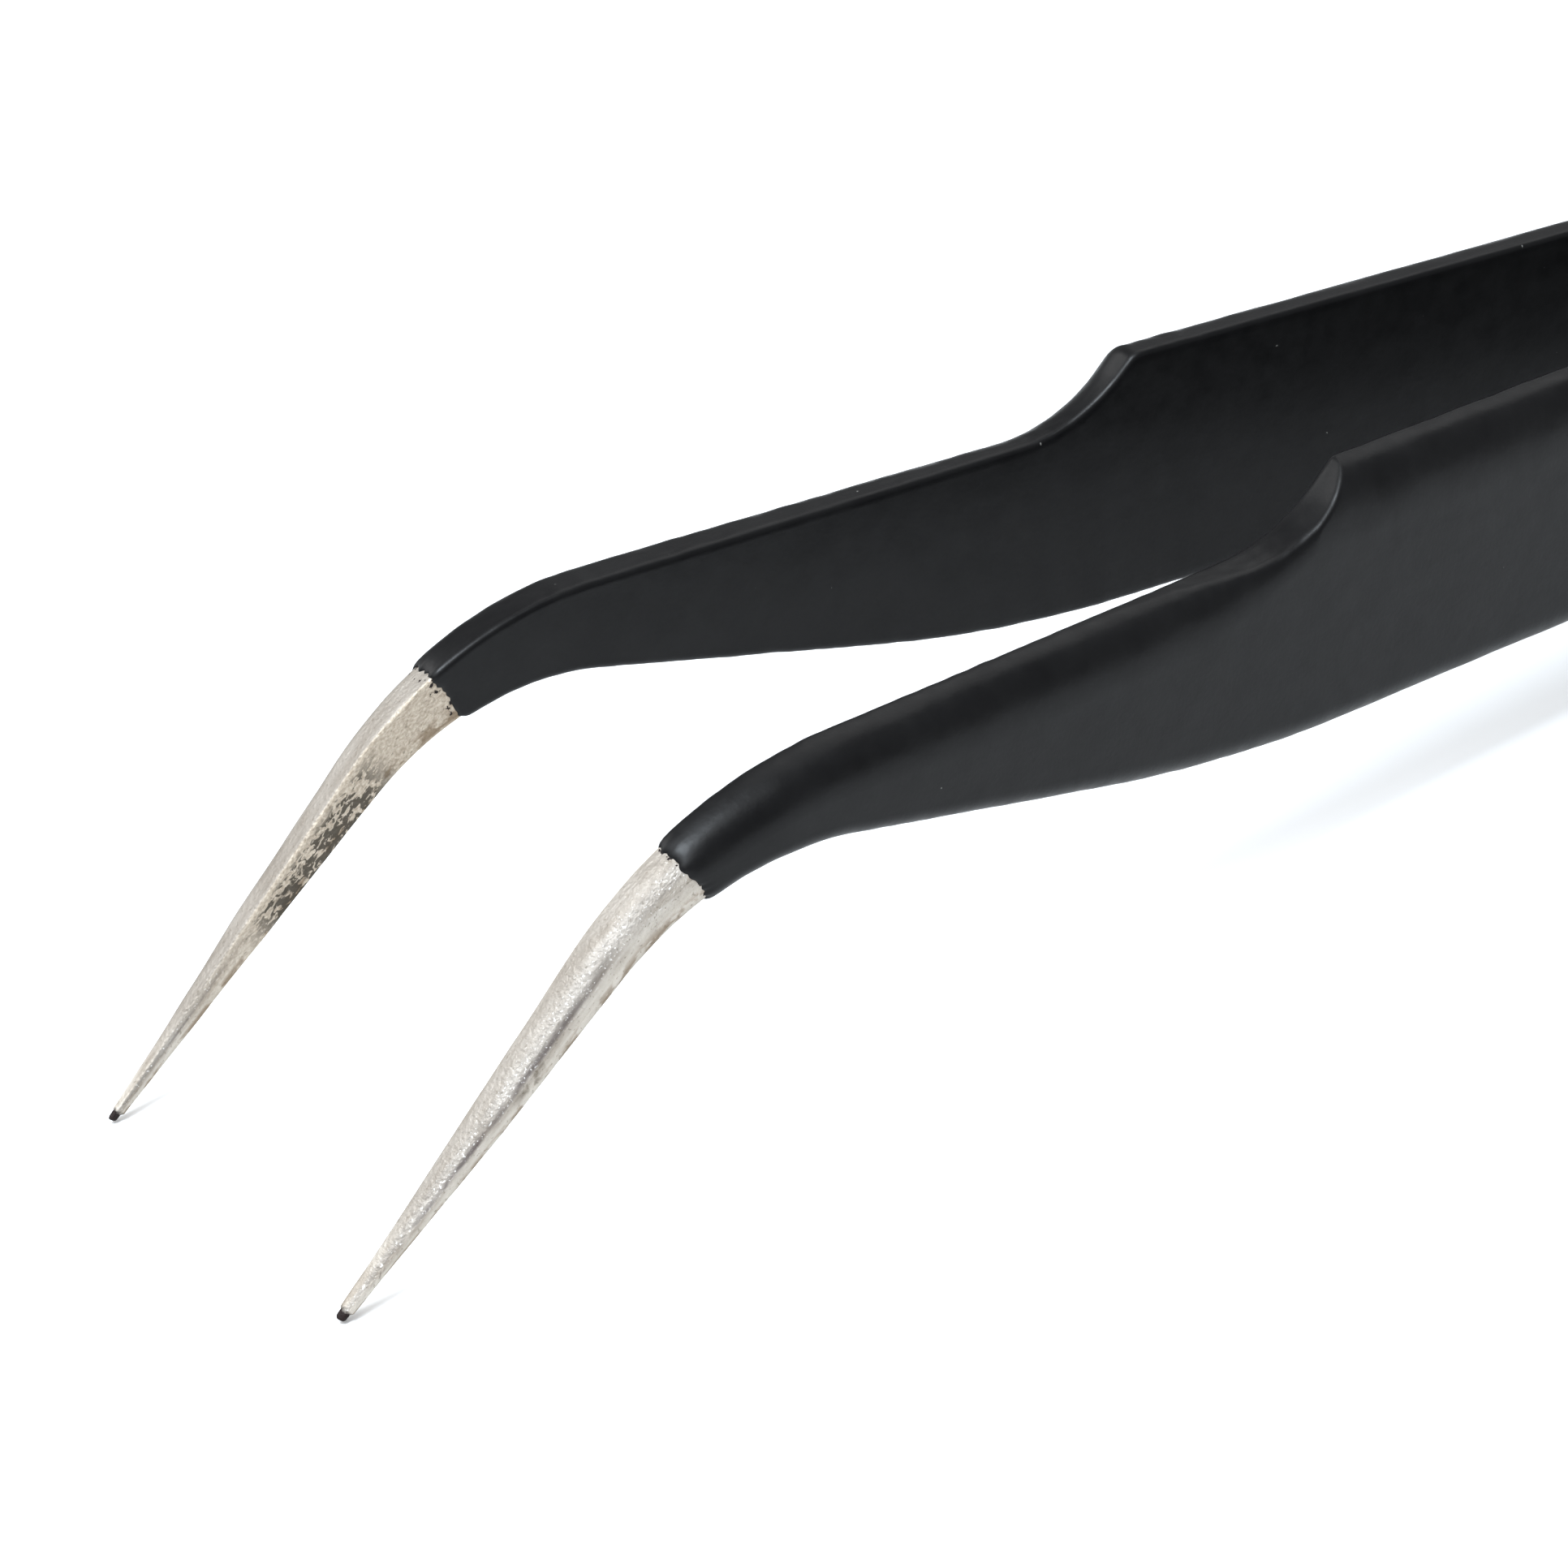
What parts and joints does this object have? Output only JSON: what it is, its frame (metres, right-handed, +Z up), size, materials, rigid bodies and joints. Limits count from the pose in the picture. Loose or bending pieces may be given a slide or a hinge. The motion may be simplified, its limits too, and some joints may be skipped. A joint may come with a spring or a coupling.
{
  "type": "curved fine-point tweezers",
  "caption": "Curved fine-point tweezers: two spring-steel arms welded at the heel, black epoxy handles with stepped shoulders and bare bent tips that close together when squeezed.",
  "frame": {"origin": "on the ground, below the middle of the bounding box, with the tweezers standing on both tips and the heel's lower corner", "axes": "+X from the tips to the heel, +Y from the left arm to the right arm, +Z up; the handle slopes 4 degrees down to the heel"},
  "size_m": [0.1189, 0.0172, 0.015],
  "materials": {
    "bare_steel": "satin",
    "weld_steel": "matte",
    "black_epoxy": "satin"
  },
  "bodies": {
    "heel": {"left_heel_strip": "bare_steel", "right_heel_strip": "bare_steel", "weld_nuggets": "weld_steel", "heel_coat": "black_epoxy"},
    "right_arm": {"right_arm_blade": "bare_steel", "right_arm_coat": "black_epoxy"},
    "left_arm": {"left_arm_blade": "bare_steel", "left_arm_coat": "black_epoxy"}
  },
  "joints": [
    {"name": "right_arm_squeeze", "type": "hinge", "parent": "heel", "child": "right_arm", "pos_m": [0.04366, 0.00037, 0.00586], "axis": [0.0702, 0, 0.9975], "range_deg": [0, 4.06], "stiffness_Nm_per_rad": 0.9},
    {"name": "left_arm_squeeze", "type": "hinge", "parent": "heel", "child": "left_arm", "pos_m": [0.04366, -0.00037, 0.00586], "axis": [0.0702, 0, 0.9975], "range_deg": [-4.06, 0], "stiffness_Nm_per_rad": 0.9}
  ],
  "couplings": [
    {"joint": "left_arm_squeeze", "follows": "right_arm_squeeze", "ratio": -1}
  ]
}
